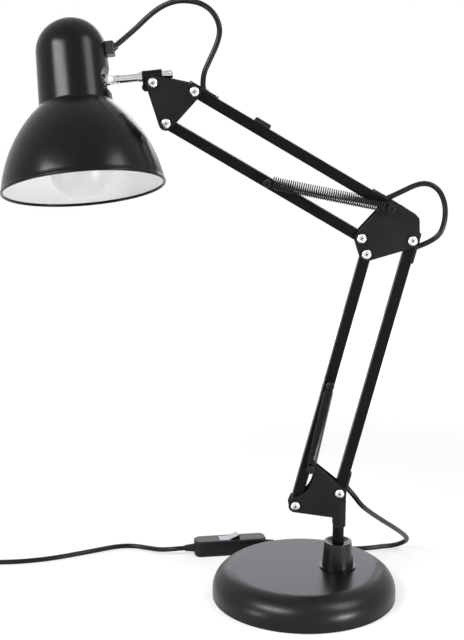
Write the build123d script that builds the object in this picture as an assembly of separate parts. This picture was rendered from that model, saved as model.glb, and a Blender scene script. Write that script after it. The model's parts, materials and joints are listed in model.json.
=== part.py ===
from build123d import *
import math
import os

os.makedirs("parts", exist_ok=True)

# Spring-balanced swing-arm table lamp, in millimetres.
# Origin: centre of the base on the table. +Z up. The arms swing in the XZ plane, with the head
# towards -X and the front plates towards -Y.

# Clearances and cuts
overrun = 3.0
running_gap = 0.1
fit_gap = 0.05
side_gap = 0.3
tiny = 1e-6

# Base
base_radius = 90.0
base_height = 29.5
base_shoulder = 22.0
cover_sheet = 1.2
cover_lift = 0.6
pad_thickness = 2.0
pad_gap = 0.5
weight_thickness = 8.0
weight_gap = 0.5
weight_hub_radius = 16.0

# Socket and its nut
post_offset = 33.0
post_radius = 5.5
socket_height = 27.0
socket_foot_radius = 15.5
socket_top_radius = 13.3
socket_flange_radius = 17.6
socket_flange_height = 1.6
socket_lip = 1.8
socket_dish_depth = 3.0
socket_bore_depth = 22.0
stud_radius = 6.0
stud_nut_flats = 18.0
stud_nut_height = 4.5
stud_nut_room = 1.0

# Arms, as parallelograms between pivots
swivel_rise = 51.0
lower_arm_length = 255.0
lower_arm_angle = 75.57
lower_spacing = 44.3
lower_spacing_angle = 16.6
upper_arm_length = 208.7
upper_arm_angle = 149.6
upper_spacing = 38.6
upper_spacing_angle = 47.7
elbow_rise = 30.8
elbow_lean = 21.3

# Square tubes and the plates beside them
tube_size = 10.0
tube_wall = 1.0
tube_corner = 0.9
tube_end_round = 4.0
tube_overhang = 5.0
cable_end_overhang = 9.0
foot_end_overhang = 6.0
plate_sheet = 1.5
plate_gap = 0.6
plate_edge = 6.7

# Pivot screws, nuts and ring washers
screw_radius = 2.0
screw_head_radius = 4.5
screw_head_height = 2.4
screw_head_round = 1.6
washer_radius = 5.6
washer_height = 0.8
nut_flats = 7.0
nut_height = 3.2

# Elbow plates and head plates
elbow_corner_radius = 5.5
elbow_corner_shares = (0.013, 0.6)
clamp_pivot_run = 37.5
clamp_pivot_rise = 7.8

# Swivel bracket
channel_drop = 9.5
channel_length = 26.0
bracket_knee_drop = 20.0
bracket_knee_radius = 5.6
bracket_tip_radius = 4.5
bracket_tip_shares = (0.315, 0.884)
bracket_bite_shares = (-0.137, 0.715)
bracket_bite_share = 0.53
post_top_gap = 1.0

# Tension springs and the bolts that they hook on
spring_wire = 1.2
spring_outer = 9.5
spring_curls = 25
spring_side_gap = 0.7
spring_lead = 6.0
spring_entry_angle = 45.0
hook_gap = 0.2
hook_side_gap = 0.7
hook_step_angle = 70.0
hook_steps = 3
wire_sides = 6
bolt_radius = 2.2
bolt_head_radius = 3.8
bolt_head_height = 2.5
bolt_head_round = 0.8
bolt_socket_radius = 1.7
bolt_socket_depth = 1.5
lower_bolt_share = 0.494
upper_bolt_share = 0.489

# Cable in the tubes, its slots and their grommet strips
cord_diameter = 5.0
cable_turn = 10.0
cable_exit_angle = 55.0
cable_turn_radius = 8.0
slot_length = 9.8
slot_middle = 6.6
slot_width = 5.8
grommet_thickness = 1.8
grommet_width = 8.0
grommet_corner = 3.5
grommet_inner_reach = 22.0
grommet_outer_reach = 8.0
grommet_foot_reach = 4.0
clip_length = 16.0
clip_height = 4.0
clip_width = 8.0
clip_round = 1.2
clip_place_share = 0.674

# Stem and its clamp
stem_slope = 6.0
stem_radius = 3.75
stem_collar_radius = 4.6
stem_collar_length = 3.0
stem_seat_gap = 0.1
stem_tail = 9.6
stem_chamfer = 0.8
clamp_length = 18.0
clamp_sheet = 1.5
clamp_foot = 5.8
clamp_round = 4.0
cotter_side_gap = 0.6
cotter_radius = 1.0
cotter_inset = 2.0
wing_nut_radius = 5.0
wing_nut_height = 6.0
wing_reach = 12.5
wing_sheet = 2.0
wing_height = 8.0
wing_turn = 35.0

# Shade, in its own axis; heights count from the stem's line
head_reach = 71.4
head_roll = 19.0
shade_sheet = 1.0
neck_radius = 32.3
neck_foot_radius = 33.5
neck_foot = 19.5
dome_base = 30.0
dome_rise = 31.6
rim_radius = 73.8
rim_drop = 95.0
flare_mid_shares = (0.635, 0.424)
rim_bead = 1.0
dimple_opening = 12.0
dimple_depth = 6.0

# Yoke that joins the shade to the stem
yoke_foot_radius = 6.0
yoke_foot_height = 1.5
yoke_ear_gap = 2.2
yoke_ear_sheet = 1.5
yoke_ear_round = 3.6
yoke_pivot_reach = 6.6
yoke_pin_radius = 1.5
yoke_pin_head_radius = 2.6
yoke_pin_head_height = 1.2
yoke_stud_radius = 2.2
yoke_stud_bite = 2.0
eye_side_gap = 0.2
eye_neck = 4.6

# Cord gland on the shade
gland_height = 12.5
gland_width = 10.0
gland_reach = 7.2
gland_place = 29.2
gland_round = 1.5
sleeve_length = 8.0
sleeve_root_radius = 4.2
sleeve_tip_radius = 3.3
sleeve_angle = 34.0
sleeve_run = 2.2
sleeve_drop = 1.7

# Lampholder and bulb
holder_radius = 20.0
holder_top = 34.0
holder_skirt = 18.0
holder_bore_gap = 0.3
holder_boss_radius = 5.0
holder_boss_gap = 0.2
holder_crown_round = 5.0
bulb_radius = 30.0
bulb_overhang = 11.0
bulb_split_rise = 14.0
bulb_body_radius = 14.0
bulb_body_waist_share = 0.42
bulb_cap_radius = 13.2
bulb_cap_length = 27.0
bulb_length = 107.0
bulb_tip_radius = 6.0
bulb_tip_length = 2.5

# Inline switch on the cord
switch_length = 76.0
switch_width = 20.0
switch_height = 17.0
switch_lower_height = 9.0
switch_wall = 1.6
switch_corner = 7.0
switch_edge = 2.0
switch_place_x = -73.0
switch_place_y = 106.5
switch_turn = 9.0
switch_cord_height = 8.0
relief_length = 10.0
relief_root_radius = 4.4
relief_tip_radius = 3.2
rocker_radius = 11.0
rocker_width = 12.0
rocker_depth = 5.0
rocker_peak = 4.6
rocker_dip = 2.2
rocker_lean = 12.0
rocker_place = -1.0
rocker_window_gap = 0.5
axle_radius = 1.5
axle_drop = 2.2
axle_bite = 0.9
contact_length = 16.0
contact_width = 5.0
contact_sheet = 0.8
contact_spread = 12.0
case_screw_radius = 1.4
case_screw_head_radius = 2.6
case_screw_head_height = 1.4
case_screw_recess = 0.6
case_screw_grip = 4.0
case_screw_spread = 29.0
case_post_radius = 3.6

# Put-away coil, its tie and the plug
coil_centre_x = -362.0
coil_centre_y = 39.6
coil_outer_radius = 35.4
coil_gap = 0.5
coil_quarters_in = 12
coil_quarters_out = 13
coil_sides = 8
coil_tail = 16.0
climb_slope = 0.14
tie_width = 7.0
tie_sheet = 0.8
tie_gap = 0.25
plug_relief_length = 20.0
plug_relief_root = 5.0
plug_relief_tip = 3.4
plug_length = 34.0
plug_width = 30.0
plug_nose_width = 26.0
plug_neck_width = 13.0
plug_neck_share = 0.62
plug_round = 2.0
pin_radius = 2.0
pin_length = 19.0
pin_spacing = 18.6
pin_round = 1.0
pin_seat = 4.0

# Routes of the free cords, chosen by hand, between the ends that the pieces give
cord_arc_share = 0.45
cable_lead = 10.0
gland_lead = 18.0
switch_lead = 5.5
coil_lead = 13.0
elbow_route = [
    (100.5, 0.0, 406.5),
    (111.5, 0.0, 406.8),
    (120.5, 0.0, 400.8),
    (125.6, 0.0, 390.5),
    (127.2, 0.0, 379.0),
    (125.8, 0.0, 367.5),
    (121.8, 0.0, 358.2),
]
head_route = [
    (-141.5, 14.0, 562.0),
    (-126.0, 12.0, 570.0),
    (-112.0, 10.0, 571.5),
    (-97.0, 7.5, 568.5),
    (-86.0, 5.0, 559.5),
    (-81.0, 3.5, 546.0),
    (-84.0, 2.0, 533.0),
    (-91.0, 1.0, 518.5),
]
rise_route = [
    (55.3, 6.5, 90.8),
    (66.0, 24.0, 76.7),
    (80.5, 46.0, 60.0),
    (97.5, 72.0, 41.0),
    (109.5, 96.0, 25.0),
    (116.0, 109.0, 14.5),
    (112.6, 116.2, 7.6),
    (102.6, 119.9, 2.6),
    (89.0, 117.1, 2.6),
]
rear_route = [
    (73.5, 112.0, 2.6),
    (57.0, 110.5, 2.6),
    (39.0, 112.5, 2.6),
    (20.0, 115.5, 2.6),
    (2.0, 117.0, 3.2),
    (-13.5, 115.9, 7.2),
]
front_route = [
    (-133.5, 98.2, 7.2),
    (-147.0, 103.5, 4.2),
    (-162.0, 113.5, 2.6),
    (-178.0, 119.5, 2.6),
    (-196.0, 116.5, 2.6),
    (-217.0, 105.1, 2.6),
    (-238.0, 94.5, 2.6),
    (-260.0, 84.0, 2.6),
    (-286.0, 76.5, 2.6),
    (-312.0, 73.5, 2.6),
    (-330.0, 74.6, 3.2),
]


def along(start, angle, length):
    """Point in the XZ plane at a length and an angle from a start point."""
    turn = math.radians(angle)
    return (start[0] + length * math.cos(turn), start[1] + length * math.sin(turn))


def arm_frame(start, angle):
    """Frame of an arm: its X runs from the first pivot to the second."""
    return Pos(start[0], 0, start[1]) * Rot(0, -angle, 0)


# Pivots as (x, z) places
socket_top = base_height + socket_height
rear_foot = (post_offset, socket_top + swivel_rise)
front_foot = along(rear_foot, lower_spacing_angle, -lower_spacing)
rear_head = along(rear_foot, lower_arm_angle, lower_arm_length)
front_head = along(front_foot, lower_arm_angle, lower_arm_length)
top_elbow = (rear_head[0] - elbow_lean, rear_head[1] + elbow_rise)
bottom_elbow = along(top_elbow, upper_spacing_angle, -upper_spacing)
top_head = along(top_elbow, upper_arm_angle, upper_arm_length)
bottom_head = along(bottom_elbow, upper_arm_angle, upper_arm_length)
clamp_pivot = (top_head[0] - clamp_pivot_run, top_head[1] + clamp_pivot_rise)
lower_bolt_run = lower_arm_length * lower_bolt_share
upper_bolt_run = upper_arm_length * upper_bolt_share
lower_bolt = along(front_foot, lower_arm_angle, lower_bolt_run)
upper_bolt = along(bottom_elbow, upper_arm_angle, upper_bolt_run)
bracket_tip = (
    front_foot[0] + lower_spacing * bracket_tip_shares[0],
    front_foot[1] + lower_spacing * bracket_tip_shares[1],
)

# Distances from the arm plane
tube_half = tube_size / 2
plate_inside = tube_half + plate_gap
plate_outside = plate_inside + plate_sheet
hole_radius = screw_radius + running_gap
spring_radius = (spring_outer - spring_wire) / 2
spring_side = plate_outside + spring_side_gap + spring_outer / 2
hook_face = spring_side + spring_wire / 2 + hook_side_gap
cord_radius = cord_diameter / 2
grommet_face = tube_half + grommet_thickness

# Frames of the arms, the stem and the head
lower_rear_frame = arm_frame(rear_foot, lower_arm_angle)
lower_front_frame = arm_frame(front_foot, lower_arm_angle)
upper_top_frame = arm_frame(top_elbow, upper_arm_angle)
upper_bottom_frame = arm_frame(bottom_elbow, upper_arm_angle)
stem_lift = stem_radius + screw_radius + stem_seat_gap
stem_middle = along(clamp_pivot, stem_slope + 90, stem_lift)
head_centre = along(stem_middle, stem_slope, -head_reach)
clamp_frame = arm_frame(stem_middle, stem_slope)
stem_frame = clamp_frame * Rot(-head_roll, 0, 0)
head_frame = arm_frame(head_centre, stem_slope) * Rot(-head_roll, 0, 0)


def save(name, *solids):
    """Write one sub-part as a STEP file."""
    shape = solids[0] if len(solids) == 1 else Compound(children=list(solids))
    export_step(shape, "parts/" + name + ".step")


def upright(radius, height):
    """A round bar that stands on the XY plane."""
    return Cylinder(radius, height, align=(Align.CENTER, Align.CENTER, Align.MIN))


def rod(radius, start, end):
    """A round bar along X."""
    return Pos(start, 0, 0) * Rot(0, 90, 0) * upright(radius, end - start)


def slab(face, near, far):
    """A sketch drawn in X and Z, made solid between two Y values."""
    low = min(near, far)
    return extrude(Plane.XZ.offset(-low) * face, amount=-abs(far - near))


def disc(place, radius, near, far):
    """A round bar along Y."""
    return slab(Pos(*place) * Circle(radius), near, far)


def domed_disc(place, radius, face, seat, rounding):
    """A screw head along Y whose edge is rounded at its outer face."""
    head = disc(place, radius, face, seat)
    edges = head.edges().filter_by(GeomType.CIRCLE).sort_by(Axis.Y)
    return fillet(edges[0] if face < seat else edges[-1], rounding)


def belt(circles):
    """Face of the tight band round circles that are listed counter-clockwise."""
    tangents = []
    for (near, near_radius), (far, far_radius) in zip(circles, circles[1:] + circles[:1]):
        heading = math.atan2(far[1] - near[1], far[0] - near[0])
        lean = math.acos((near_radius - far_radius) / math.dist(near, far))
        side = heading - lean
        normal = Vector(math.cos(side), math.sin(side))
        tangents.append((Vector(*near) + normal * near_radius, Vector(*far) + normal * far_radius, side))
    edges = []
    for index, (place, radius) in enumerate(circles):
        arrival = tangents[index - 1]
        departure = tangents[index]
        turn = (departure[2] - arrival[2]) % (2 * math.pi)
        middle = arrival[2] + turn / 2
        crown = Vector(*place) + Vector(math.cos(middle), math.sin(middle)) * radius
        edges.append(ThreePointArc(arrival[1], crown, departure[0]))
        edges.append(Line(departure[0], departure[1]))
    return make_face(edges)


def plate(circles, holes, near, far):
    """A flat plate with a belt outline and round holes."""
    face = belt(circles)
    for place, radius in holes:
        face -= Pos(*place) * Circle(radius)
    return slab(face, near, far)


# Base
nut_seat = pad_thickness + stud_nut_room + stud_nut_height
nut_room_radius = stud_nut_flats / math.sqrt(3) + stud_nut_room
socket_floor = socket_top - socket_bore_depth


def cover_profile(inset, foot):
    """Half section of the pressed cover, drawn in by an inset."""
    side = base_radius - inset
    top = base_height - inset
    bend = base_shoulder - inset
    crown = math.sqrt(0.5) * bend
    outline = [
        Polyline((0, top), (0, foot), (side, foot), (side, top - bend)),
        ThreePointArc((side, top - bend), (side - bend + crown, top - bend + crown), (side - bend, top)),
        Line((side - bend, top), (0, top)),
    ]
    return Plane.XZ * make_face(outline)


def base_cover():
    """Pressed steel cover with a hole for the socket's stud."""
    skin = revolve(cover_profile(0, cover_lift), Axis.Z)
    skin -= revolve(cover_profile(cover_sheet, cover_lift - overrun), Axis.Z)
    return skin - Pos(post_offset, 0, 0) * upright(stud_radius + fit_gap, base_height + overrun)


def base_weight():
    """Cast disc with a hub that reaches the cover, and room below for the nut."""
    disc_body = Pos(0, 0, pad_thickness) * upright(base_radius - cover_sheet - weight_gap, weight_thickness)
    hub = upright(weight_hub_radius, base_height - cover_sheet - pad_thickness)
    body = disc_body + Pos(post_offset, 0, pad_thickness) * hub
    body -= Pos(post_offset, 0, 0) * upright(stud_radius + fit_gap, base_height)
    return body - Pos(post_offset, 0, 0) * upright(nut_room_radius, nut_seat)


def base_pad():
    """Soft disc that the lamp stands on."""
    return upright(base_radius - cover_sheet - pad_gap, pad_thickness)


def base_socket():
    """Turned socket with a flange, a dished top, a bore for the post and a stud below."""
    bore = post_radius + running_gap
    shoulder = base_height + socket_flange_height
    stud_end = nut_seat - stud_nut_height
    profile = Polyline(
        (0, stud_end),
        (stud_radius, stud_end),
        (stud_radius, base_height),
        (socket_flange_radius, base_height),
        (socket_flange_radius, shoulder),
        (socket_foot_radius, shoulder),
        (socket_top_radius, socket_top),
        (socket_top_radius - socket_lip, socket_top),
        (bore, socket_top - socket_dish_depth),
        (bore, socket_floor),
        (0, socket_floor),
        close=True,
    )
    return Pos(post_offset, 0, 0) * revolve(Plane.XZ * make_face(profile), Axis.Z)


def socket_nut():
    """Hexagon nut that draws the socket, the cover and the weight together."""
    blank = extrude(RegularPolygon(stud_nut_flats / 2, 6, major_radius=False), amount=-stud_nut_height)
    hole = Cylinder(stud_radius + fit_gap, 2 * stud_nut_height + overrun)
    return Pos(post_offset, 0, nut_seat) * (blank - hole)


save("base_cover", base_cover())
save("base_weight", base_weight())
save("base_pad", base_pad())
save("base_socket", base_socket())
save("socket_nut", socket_nut())


# Fasteners of the plates
def pivot_screw(place, end):
    """A pan-head screw from the front, over its ring washer and through both plates."""
    seat = -plate_outside - washer_height
    head = domed_disc(place, screw_head_radius, seat - screw_head_height, seat, screw_head_round)
    return head + disc(place, screw_radius, seat, end)


def ring_washer(place):
    """A ring washer under a screw's head."""
    ring = Circle(washer_radius) - Circle(screw_radius + fit_gap)
    return slab(Pos(*place) * ring, -plate_outside - washer_height, -plate_outside)


def plate_nut(place):
    """A hexagon nut on the back plate."""
    ring = RegularPolygon(nut_flats / 2, 6, major_radius=False) - Circle(screw_radius + fit_gap)
    return slab(Pos(*place) * ring, plate_outside, plate_outside + nut_height)


def spring_bolt(place):
    """A cross bolt with a head outside each spring's hook and a hexagon socket in front."""
    bolt = disc(place, bolt_radius, -hook_face, hook_face)
    for side in (-1, 1):
        face = side * (hook_face + bolt_head_height)
        bolt += domed_disc(place, bolt_head_radius, face, side * hook_face, bolt_head_round)
    face = -hook_face - bolt_head_height
    return bolt - slab(Pos(*place) * RegularPolygon(bolt_socket_radius, 6), face, face + bolt_socket_depth)


nut_end = plate_outside + nut_height

# Swivel bracket
channel_top = rear_foot[1] - channel_drop
channel_foot = channel_top - channel_length


def bracket_cheek():
    """Outline of one cheek: a belt round pivots, knee and spring tip, less a round bite."""
    knee = (post_offset, rear_foot[1] - bracket_knee_drop)
    tip = (bracket_tip, bracket_tip_radius)
    face = belt([(front_foot, plate_edge), (knee, bracket_knee_radius), (rear_foot, plate_edge), tip])
    bite = (
        front_foot[0] + lower_spacing * bracket_bite_shares[0],
        front_foot[1] + lower_spacing * bracket_bite_shares[1],
    )
    face -= Pos(*bite) * Circle(lower_spacing * bracket_bite_share)
    below = Rectangle(2 * plate_edge, channel_length, align=(Align.MIN, Align.MAX))
    face -= Pos(post_offset, channel_top) * below
    skirt = Rectangle(plate_inside, channel_length, align=(Align.MAX, Align.MIN))
    face += Pos(post_offset, channel_foot) * skirt
    for place in (front_foot, rear_foot):
        face -= Pos(*place) * Circle(screw_radius + fit_gap)
    return face - Pos(*bracket_tip) * Circle(bolt_radius + fit_gap)


def swivel_bracket():
    """One folded sheet: two cheeks and the half-round channel that holds the post."""
    face = bracket_cheek()
    cheeks = slab(face, -plate_outside, -plate_inside) + slab(face, plate_inside, plate_outside)
    half_ring = Circle(plate_outside) - Circle(plate_inside)
    half_ring -= Rectangle(2 * plate_outside, 2 * plate_outside, align=(Align.MAX, Align.CENTER))
    return cheeks + Pos(post_offset, 0, channel_foot) * extrude(half_ring, amount=channel_length)


def swivel_post():
    """Round post from the socket's floor to the top of the channel."""
    foot = socket_floor + fit_gap
    return Pos(post_offset, 0, foot) * upright(post_radius, channel_top - post_top_gap - foot)


def spring_stud(side):
    """A rivet in one cheek that a spring hooks on."""
    face = side * (hook_face + bolt_head_height)
    head = domed_disc(bracket_tip, bolt_head_radius, face, side * hook_face, bolt_head_round)
    return head + disc(bracket_tip, bolt_radius, side * plate_inside, side * hook_face)


bracket_pivots = [front_foot, rear_foot]
save("swivel_bracket", swivel_bracket())
save("swivel_post", swivel_post())
save("bracket_screws", *[pivot_screw(place, nut_end) for place in bracket_pivots])
bracket_rings = [ring_washer(place) for place in bracket_pivots]
save("bracket_nuts", *bracket_rings, *[plate_nut(place) for place in bracket_pivots])
save("bracket_spring_studs", spring_stud(-1), spring_stud(1))


# Arm tubes and the cable in them, each along X in its arm's frame
def square_tube(length, near_overhang, far_overhang, holes, slots):
    """A square tube with round ends, cross holes and cable slots in its -Z face."""
    run = length + near_overhang + far_overhang
    section = RectangleRounded(tube_size, tube_size, tube_corner)
    section -= Rectangle(tube_size - 2 * tube_wall, tube_size - 2 * tube_wall)
    side = Rectangle(run, tube_size, align=(Align.MIN, Align.CENTER))
    side = fillet(side.vertices(), tube_end_round)
    tube = extrude(Plane.YZ * section, amount=run) & slab(side, -tube_size, tube_size)
    tube = Pos(-near_overhang, 0, 0) * tube
    for place, radius in holes:
        tube -= disc((place, 0), radius, -tube_size, tube_size)
    for place in slots:
        tube -= Pos(place, 0, -tube_half) * Box(slot_length, slot_width, 4 * tube_wall)
    return tube


mouth_run = cable_turn - grommet_face / math.tan(math.radians(cable_exit_angle))


def grommet(pivot, heading, outer_reach):
    """A raised strip with a slot for the cable; the arm lies on the heading side of the pivot."""
    length = grommet_inner_reach + outer_reach
    middle = heading * (grommet_inner_reach - outer_reach) / 2
    face = Pos(middle, 0) * RectangleRounded(length, grommet_width, grommet_corner)
    face -= Pos(heading * slot_middle, 0) * Rectangle(slot_length, slot_width)
    return Pos(pivot, 0, -grommet_face) * extrude(face, amount=grommet_thickness)


def cable_run(length):
    """The cable that a tube holds, from one grommet's mouth to the other's."""
    path = FilletPolyline(
        (mouth_run, 0, -grommet_face),
        (cable_turn, 0, 0),
        (length - cable_turn, 0, 0),
        (length - mouth_run, 0, -grommet_face),
        radius=cable_turn_radius,
    )
    return sweep(Plane(origin=path @ 0, z_dir=path % 0) * Circle(cord_radius), path=path)


def tube_clip():
    """A small moulded block on the outer face of the upper tube."""
    block = Box(clip_length, clip_width, clip_height)
    block = fillet(block.edges().group_by(Axis.Z)[0], clip_round)
    return Pos(upper_arm_length * clip_place_share, 0, -tube_half - clip_height / 2) * block


lower_holes = [(0, hole_radius), (lower_arm_length, hole_radius)]
lower_slots = [slot_middle, lower_arm_length - slot_middle]
lower_rear = square_tube(lower_arm_length, foot_end_overhang, cable_end_overhang, lower_holes, lower_slots)
lower_bolt_hole = (lower_bolt_run, bolt_radius + fit_gap)
lower_front = square_tube(lower_arm_length, tube_overhang, tube_overhang, [*lower_holes, lower_bolt_hole], [])
lower_strips = [
    grommet(0, 1, grommet_foot_reach),
    grommet(lower_arm_length, -1, grommet_outer_reach),
]
save("lower_rear_tube", lower_rear_frame * lower_rear)
save("lower_grommets", *[lower_rear_frame * strip for strip in lower_strips])
save("lower_cable_run", lower_rear_frame * cable_run(lower_arm_length))
save("lower_front_tube", lower_front_frame * lower_front)
save("lower_spring_bolt", spring_bolt(lower_bolt))

upper_top_holes = [(0, bolt_radius + running_gap), (upper_arm_length, hole_radius)]
upper_slots = [slot_middle, upper_arm_length - slot_middle]
upper_top = square_tube(
    upper_arm_length, cable_end_overhang, cable_end_overhang, upper_top_holes, upper_slots
)
upper_bottom_holes = [
    (0, hole_radius),
    (upper_arm_length, hole_radius),
    (upper_bolt_run, bolt_radius + fit_gap),
]
upper_bottom = square_tube(upper_arm_length, tube_overhang, tube_overhang, upper_bottom_holes, [])
upper_strips = [
    grommet(0, 1, grommet_outer_reach),
    grommet(upper_arm_length, -1, grommet_outer_reach),
]
save("upper_top_tube", upper_top_frame * upper_top)
save("upper_grommets", *[upper_top_frame * strip for strip in upper_strips])
save("upper_tube_clip", upper_top_frame * tube_clip())
save("upper_cable_run", upper_top_frame * cable_run(upper_arm_length))
save("upper_bottom_tube", upper_bottom_frame * upper_bottom)
save("upper_spring_bolt", spring_bolt(upper_bolt))

# Elbow
elbow_corner = (
    rear_head[0] + elbow_rise * elbow_corner_shares[0],
    rear_head[1] + elbow_rise * elbow_corner_shares[1],
)
elbow_pivots = [bottom_elbow, front_head, rear_head]
elbow_circles = [(place, plate_edge) for place in elbow_pivots]
elbow_circles += [(elbow_corner, elbow_corner_radius), (top_elbow, plate_edge)]
elbow_holes = [(place, screw_radius + fit_gap) for place in elbow_pivots]
elbow_holes += [(top_elbow, bolt_radius + fit_gap)]
save("elbow_front_plate", plate(elbow_circles, elbow_holes, -plate_outside, -plate_inside))
save("elbow_back_plate", plate(elbow_circles, elbow_holes, plate_inside, plate_outside))
save("elbow_screws", *[pivot_screw(place, nut_end) for place in elbow_pivots])
elbow_rings = [ring_washer(place) for place in elbow_pivots]
save("elbow_nuts", *elbow_rings, *[plate_nut(place) for place in elbow_pivots])
save("elbow_spring_bolt", spring_bolt(top_elbow))


# Wound tubes, swept on pairs of arcs
def arc_between(start, heading, end):
    """The circular arc that leaves start along a heading and reaches end."""
    chord = end - start
    unit = chord.normalized()
    side = heading - unit * heading.dot(unit)
    if side.length < tiny:
        return Line(start, end)
    bend = math.atan2(side.length, heading.dot(unit))
    rise = math.tan(bend / 2) * chord.length / 2
    return ThreePointArc(start, (start + end) / 2 + side.normalized() * rise, end)


def biarc(start, end):
    """Two arcs that join two stations, each a point with a unit heading."""
    span = end[0] - start[0]
    reach = span.dot(start[1] + end[1])
    slack = 2 * (1 - start[1].dot(end[1]))
    if slack < tiny:
        arm = span.dot(span) / (2 * reach)
    else:
        arm = (math.sqrt(reach ** 2 + slack * span.dot(span)) - reach) / slack
    joint = (start[0] + start[1] * arm + end[0] - end[1] * arm) / 2
    first = arc_between(start[0], start[1], joint)
    return [first, arc_between(joint, first % 1, end[0])]


def wound_path(stations):
    """Pairs of arcs through a list of stations."""
    edges = []
    for start, end in zip(stations, stations[1:]):
        edges += biarc(start, end)
    return edges


def report_winding(name, edges, diameter, skip):
    """Print the length, the tightest radius and the least gap between stretches beyond skip."""
    points = []
    total = 0
    for edge in edges:
        count = math.ceil(edge.length / (diameter / 2))
        points += [(edge @ (index / count), total + edge.length * index / count) for index in range(count)]
        total += edge.length
    least = math.inf
    for index, (place, run) in enumerate(points):
        for other, other_run in points[index + 1:]:
            if other_run - run > skip:
                least = min(least, (other - place).length)
    tightest = min(edge.radius for edge in edges if edge.geom_type == GeomType.CIRCLE)
    print(name, "length", round(total, 1), "tightest", round(tightest, 2), "gap", round(least - diameter, 2))


def sweep_wound(edges, radius, sides):
    """One unbroken tube of a few sides along joined arcs."""
    path = Wire(edges)
    section = Plane(origin=path @ 0, z_dir=path % 0) * RegularPolygon(radius, sides)
    return sweep(section, path=path)


def hook_stations(place, turns):
    """Stations of an open hook round a bolt along Y; at turn 0 it heads along X over the bolt."""
    radius = bolt_radius + hook_gap + spring_wire / 2
    stations = []
    for step in turns:
        turn = math.radians(step * hook_step_angle)
        wire = Vector(place + radius * math.sin(turn), 0, radius * math.cos(turn))
        stations.append((wire, Vector(math.cos(turn), 0, -math.sin(turn))))
    return stations


def spring(start, end, name):
    """A tension spring between two bolts, with a hook at each end."""
    span = math.dist(start, end)
    angle = math.degrees(math.atan2(end[1] - start[1], end[0] - start[0]))
    entry = math.radians(spring_entry_angle)
    winding = 2 * math.pi * spring_curls - 2 * entry
    length = span - 2 * spring_lead
    steps = 2 * spring_curls
    stations = hook_stations(0, range(-hook_steps, 1))
    for step in range(steps + 1):
        turn = entry + winding * step / steps
        across = Vector(0, math.sin(turn), math.cos(turn)) * spring_radius
        heading = Vector(length / winding, spring_radius * math.cos(turn), -spring_radius * math.sin(turn))
        place = across + Vector(spring_lead + length * step / steps, 0, 0)
        stations.append((place, heading.normalized()))
    stations += hook_stations(span, range(hook_steps + 1))
    edges = wound_path(stations)
    report_winding(name, edges, spring_wire, math.pi * spring_radius)
    return arm_frame(start, angle) * sweep_wound(edges, spring_wire / 2, wire_sides)


lower_spring = spring(bracket_tip, lower_bolt, "lower spring")
upper_spring = spring(top_elbow, upper_bolt, "upper spring")
save("lower_front_spring", Pos(0, -spring_side, 0) * lower_spring)
save("lower_back_spring", Pos(0, spring_side, 0) * lower_spring)
save("upper_front_spring", Pos(0, -spring_side, 0) * upper_spring)
save("upper_back_spring", Pos(0, spring_side, 0) * upper_spring)

# Head bracket
wing_face = plate_outside + side_gap
wing_end = wing_face + wing_nut_height
head_pivots = [bottom_head, top_head]
head_circles = [(place, plate_edge) for place in [clamp_pivot, *head_pivots]]
head_holes = [(place, screw_radius + fit_gap) for place in [clamp_pivot, *head_pivots]]


def wing_nut():
    """The clamp's wing nut, behind the back plate."""
    hub = disc(clamp_pivot, wing_nut_radius, wing_face, wing_end)
    outline = Pos(*clamp_pivot) * Rot(0, 0, wing_turn) * SlotOverall(2 * wing_reach, wing_height)
    wings = slab(outline, wing_end - wing_sheet, wing_end)
    return hub + wings - disc(clamp_pivot, hole_radius, plate_outside, wing_end + overrun)


save("head_front_plate", plate(head_circles, head_holes, -plate_outside, -plate_inside))
save("head_back_plate", plate(head_circles, head_holes, plate_inside, plate_outside))
clamp_screw = pivot_screw(clamp_pivot, wing_end + side_gap)
save("head_screws", clamp_screw, *[pivot_screw(place, nut_end) for place in head_pivots])
head_rings = [ring_washer(place) for place in [clamp_pivot, *head_pivots]]
save("head_nuts", *head_rings, *[plate_nut(place) for place in head_pivots])
save("wing_nut", wing_nut())


# Stem and clamp, along X about the middle of the clamp
def stem_clamp():
    """A strap folded over the stem and held by the clamp screw below it."""
    bore = stem_radius + running_gap
    outer = bore + clamp_sheet
    foot = stem_lift + clamp_foot
    arch = Circle(outer) + Rectangle(2 * outer, foot, align=(Align.CENTER, Align.MAX))
    arch -= Circle(bore) + Rectangle(2 * bore, foot + overrun, align=(Align.CENTER, Align.MAX))
    strap = extrude(Plane.YZ * arch, amount=clamp_length / 2, both=True)
    strap = fillet(strap.edges().filter_by(Axis.Y).group_by(Axis.Z)[0], clamp_round)
    return strap - disc((0, -stem_lift), hole_radius, -outer - overrun, outer + overrun)


neck_at_stem = neck_radius + (neck_foot_radius - neck_radius) * dome_base / (dome_base + neck_foot)
dimple_floor = neck_at_stem - dimple_depth
tilt_run = dimple_floor + yoke_pivot_reach
tail_end = clamp_length / 2 + stem_tail
cotter_run = tail_end - cotter_inset


def stem():
    """Chrome rod with a flat eye for the yoke, a collar before the clamp and a cross hole behind."""
    eye = tilt_run - head_reach
    root = eye + eye_neck
    bar = rod(stem_radius, root, tail_end)
    bar = chamfer(bar.edges().group_by(Axis.X)[-1], stem_chamfer)
    collar_end = -clamp_length / 2 - side_gap
    bar += rod(stem_collar_radius, collar_end - stem_collar_length, collar_end)
    tongue = Rectangle(eye_neck + stem_radius, 2 * yoke_ear_round, align=(Align.MIN, Align.CENTER))
    flat = yoke_ear_gap - eye_side_gap
    bar += slab(Pos(eye, 0) * (tongue + Circle(yoke_ear_round)), -flat, flat)
    bar -= disc((eye, 0), yoke_pin_radius + running_gap, -stem_radius, stem_radius)
    return bar - disc((cotter_run, 0), cotter_radius + fit_gap, -2 * stem_radius, 2 * stem_radius)


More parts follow.
